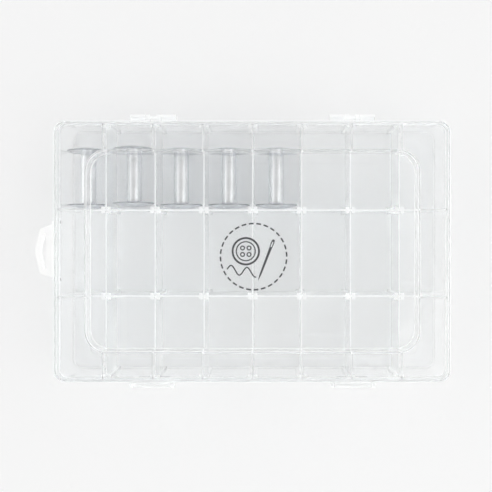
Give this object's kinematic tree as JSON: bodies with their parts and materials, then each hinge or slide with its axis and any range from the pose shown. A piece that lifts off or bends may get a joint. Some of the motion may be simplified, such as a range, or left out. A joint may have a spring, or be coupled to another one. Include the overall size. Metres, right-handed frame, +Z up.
{
  "type": "compartment sewing box",
  "caption": "Flat clear sewing organiser with a hinged latched lid, removable dividers, a carry loop and metal bobbins in the back row.",
  "frame": {"origin": "centre of the underside of the box body, on the surface it stands on", "axes": "+X along the length, away from the carry loop; +Y to the hinges; +Z up"},
  "size_m": [0.3452, 0.2273, 0.05],
  "materials": {
    "clear_base": "translucent natural polypropylene, semi-gloss",
    "clear_lid": "translucent natural polypropylene, semi-gloss",
    "clear_divider": "translucent natural polypropylene, satin",
    "clear_latch": "translucent natural polypropylene, satin",
    "white_handle": "opaque white polypropylene, semi-gloss",
    "bobbin_aluminium": "satin turned and pressed aluminium"
  },
  "bodies": {
    "base": {"base_tray": "clear_base", "divider_front_1": "clear_divider", "divider_front_2": "clear_divider", "divider_front_3": "clear_divider", "divider_front_4": "clear_divider", "divider_front_5": "clear_divider", "divider_front_6": "clear_divider", "divider_front_7": "clear_divider", "divider_middle_1": "clear_divider", "divider_middle_2": "clear_divider", "divider_middle_3": "clear_divider", "divider_middle_4": "clear_divider", "divider_middle_5": "clear_divider", "divider_middle_6": "clear_divider", "divider_middle_7": "clear_divider", "divider_back_1": "clear_divider", "divider_back_2": "clear_divider", "divider_back_3": "clear_divider", "divider_back_4": "clear_divider", "divider_back_5": "clear_divider", "divider_back_6": "clear_divider", "divider_back_7": "clear_divider"},
    "lid": {"hinged_lid": "clear_lid"},
    "latch_left": {"latch_left": "clear_latch"},
    "latch_right": {"latch_right": "clear_latch"},
    "handle": {"carry_handle": "white_handle"},
    "bobbin_1": {"bobbin_1_core": "bobbin_aluminium", "bobbin_1_flange_front": "bobbin_aluminium", "bobbin_1_flange_back": "bobbin_aluminium"},
    "bobbin_2": {"bobbin_2_core": "bobbin_aluminium", "bobbin_2_flange_front": "bobbin_aluminium", "bobbin_2_flange_back": "bobbin_aluminium"},
    "bobbin_3": {"bobbin_3_core": "bobbin_aluminium", "bobbin_3_flange_front": "bobbin_aluminium", "bobbin_3_flange_back": "bobbin_aluminium"},
    "bobbin_4": {"bobbin_4_core": "bobbin_aluminium", "bobbin_4_flange_front": "bobbin_aluminium", "bobbin_4_flange_back": "bobbin_aluminium"},
    "bobbin_5": {"bobbin_5_core": "bobbin_aluminium", "bobbin_5_flange_front": "bobbin_aluminium", "bobbin_5_flange_back": "bobbin_aluminium"}
  },
  "joints": [
    {"name": "lid_hinge", "type": "hinge", "parent": "base", "child": "lid", "pos_m": [0, 0.1112, 0.0382], "axis": [-1, 0, 0], "range_deg": [0, 180]},
    {"name": "latch_left_pivot", "type": "hinge", "parent": "lid", "child": "latch_left", "pos_m": [-0.083, -0.1104, 0.0434], "axis": [-1, 0, 0], "range_deg": [0, 100]},
    {"name": "latch_right_pivot", "type": "hinge", "parent": "lid", "child": "latch_right", "pos_m": [0.083, -0.1104, 0.0434], "axis": [-1, 0, 0], "range_deg": [0, 100]},
    {"name": "handle_pivot", "type": "hinge", "parent": "base", "child": "handle", "pos_m": [-0.166, 0, 0.036], "axis": [0, -1, 0], "range_deg": [0, 90]},
    {"name": "bobbin_1_spin", "type": "hinge", "parent": "base", "child": "bobbin_1", "pos_m": [-0.1422, 0.0623, 0.0199], "axis": [0, 1, 0], "continuous": true},
    {"name": "bobbin_2_spin", "type": "hinge", "parent": "base", "child": "bobbin_2", "pos_m": [-0.1029, 0.0639, 0.0199], "axis": [0, 1, 0], "continuous": true},
    {"name": "bobbin_3_spin", "type": "hinge", "parent": "base", "child": "bobbin_3", "pos_m": [-0.0621, 0.0623, 0.0199], "axis": [0, 1, 0], "continuous": true},
    {"name": "bobbin_4_spin", "type": "hinge", "parent": "base", "child": "bobbin_4", "pos_m": [-0.021, 0.0623, 0.0199], "axis": [0, 1, 0], "continuous": true},
    {"name": "bobbin_5_spin", "type": "hinge", "parent": "base", "child": "bobbin_5", "pos_m": [0.0199, 0.0623, 0.0199], "axis": [0, 1, 0], "continuous": true}
  ]
}
